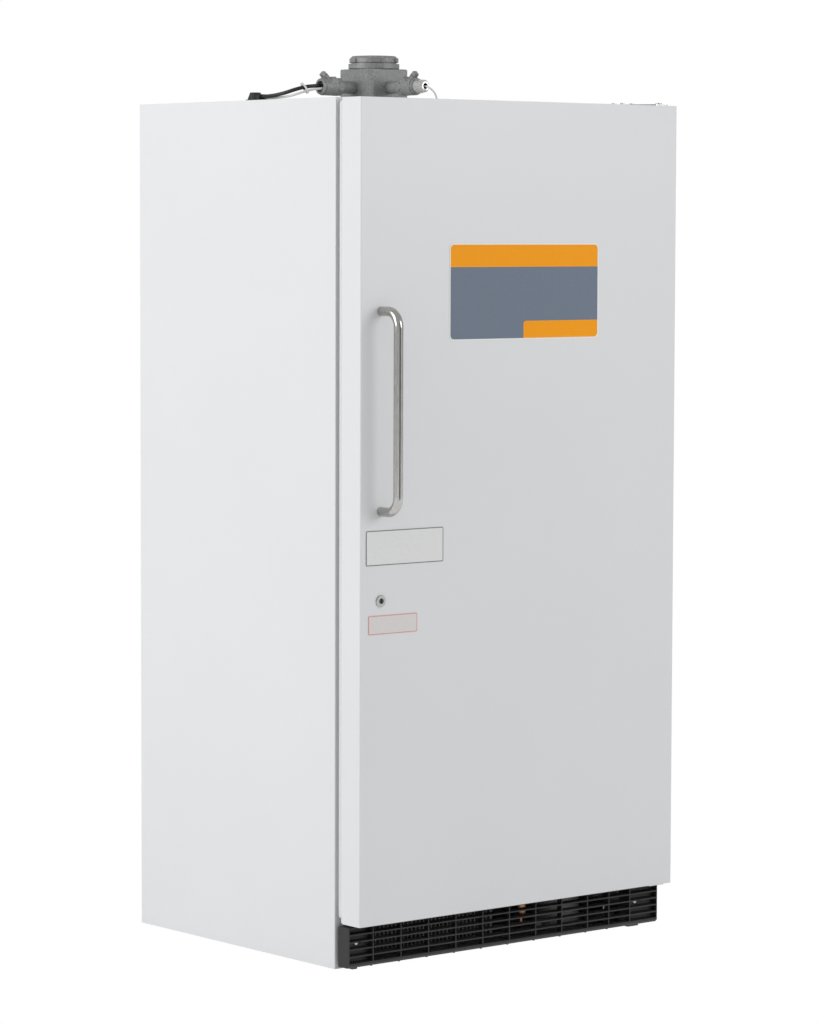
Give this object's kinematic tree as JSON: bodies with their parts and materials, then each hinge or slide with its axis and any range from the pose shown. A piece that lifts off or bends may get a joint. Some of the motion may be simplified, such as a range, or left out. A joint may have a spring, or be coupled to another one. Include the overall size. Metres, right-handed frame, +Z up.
{
  "type": "explosion-proof upright freezer",
  "caption": "Tall single-door upright freezer for flammable stores, with louvred kick grille, tubular handle, key lock and a cast junction box with seal fittings on the roof.",
  "frame": {"origin": "on the floor under the middle of the whole object", "axes": "+Z up, the door faces -Y, +X is the hinge side"},
  "size_m": [0.88, 0.8392, 1.9025],
  "materials": {
    "cabinet_paint": "satin",
    "pan_paint": "satin",
    "galvanised": "satin",
    "stainless": "satin",
    "chrome": "polished",
    "zinc": "satin",
    "liner_plastic": "gloss",
    "foam": "matt",
    "gasket_rubber": "satin",
    "grille_plastic": "satin",
    "aluminium_plate": "satin",
    "cast_box": "satin",
    "nickel": "satin",
    "nylon": "satin",
    "black_paint": "satin",
    "black_rubber": "matt",
    "black_cable": "satin",
    "white_cable": "satin",
    "copper": "satin"
  },
  "bodies": {
    "cabinet": {"side_panel_left": "cabinet_paint", "side_panel_right": "cabinet_paint", "roof_panel": "cabinet_paint", "back_panel": "galvanised", "front_rail": "cabinet_paint", "compartment_deck": "galvanised", "inner_liner": "liner_plastic", "foam_insulation": "foam", "breaker_strip": "nylon", "shelf_1": "aluminium_plate", "shelf_2": "aluminium_plate", "shelf_3": "aluminium_plate", "shelf_4": "aluminium_plate", "shelf_brackets": "liner_plastic", "base_pan": "pan_paint", "kick_grille": "grille_plastic", "compressor": "black_paint", "compressor_mounts": "black_rubber", "condenser": "aluminium_plate", "refrigerant_tubing": "copper", "filter_drier": "copper", "fan_motor": "black_paint", "fan_shroud": "galvanised", "control_enclosure": "cast_box", "service_cover": "cabinet_paint", "panel_screws": "zinc", "top_hinge_plate": "zinc", "bottom_hinge_bracket": "zinc", "hinge_pins": "stainless", "hex_bolts": "zinc", "lock_strike": "zinc", "suction_riser": "copper", "junction_box": "cast_box", "junction_box_lid": "cast_box", "conduit_nipples": "zinc", "seal_fitting_left": "cast_box", "seal_fitting_front": "cast_box", "seal_plugs": "cast_box", "cable_gland": "nickel", "power_cable_black": "black_cable", "power_cable_white": "white_cable", "sensor_lead": "white_cable", "cable_tie": "nylon", "roof_grommets": "black_rubber"},
    "door": {"door_panel": "cabinet_paint", "door_foam": "foam", "door_liner": "liner_plastic", "door_gasket": "gasket_rubber", "door_handle": "stainless", "handle_screws": "zinc", "lock_cylinder": "chrome", "hinge_bushes": "nylon"},
    "lock": {"lock_plug": "chrome", "lock_cam": "zinc"},
    "fan": {"fan_blade": "aluminium_plate"},
    "foot_front_left": {"foot_front_left": "zinc"},
    "foot_front_right": {"foot_front_right": "zinc"},
    "foot_rear_left": {"foot_rear_left": "zinc"},
    "foot_rear_right": {"foot_rear_right": "zinc"}
  },
  "joints": [
    {"name": "door_swing", "type": "hinge", "parent": "cabinet", "child": "door", "pos_m": [0.418, -0.3186, 0.9], "axis": [0, 0, 1], "range_deg": [0, 125]},
    {"name": "lock_turn", "type": "hinge", "parent": "door", "child": "lock", "pos_m": [-0.386, -0.3536, 0.776], "axis": [0, -1, 0], "range_deg": [0, 90]},
    {"name": "fan_spin", "type": "hinge", "parent": "cabinet", "child": "fan", "pos_m": [-0.16, 0.2264, 0.171], "axis": [0, 1, 0], "continuous": true},
    {"name": "foot_front_left_turn", "type": "hinge", "parent": "cabinet", "child": "foot_front_left", "pos_m": [-0.375, -0.2066, 0.02], "axis": [0, 0, 1], "continuous": true},
    {"name": "foot_front_right_turn", "type": "hinge", "parent": "cabinet", "child": "foot_front_right", "pos_m": [0.375, -0.2066, 0.02], "axis": [0, 0, 1], "continuous": true},
    {"name": "foot_rear_left_turn", "type": "hinge", "parent": "cabinet", "child": "foot_rear_left", "pos_m": [-0.375, 0.3514, 0.02], "axis": [0, 0, 1], "continuous": true},
    {"name": "foot_rear_right_turn", "type": "hinge", "parent": "cabinet", "child": "foot_rear_right", "pos_m": [0.375, 0.3514, 0.02], "axis": [0, 0, 1], "continuous": true}
  ]
}
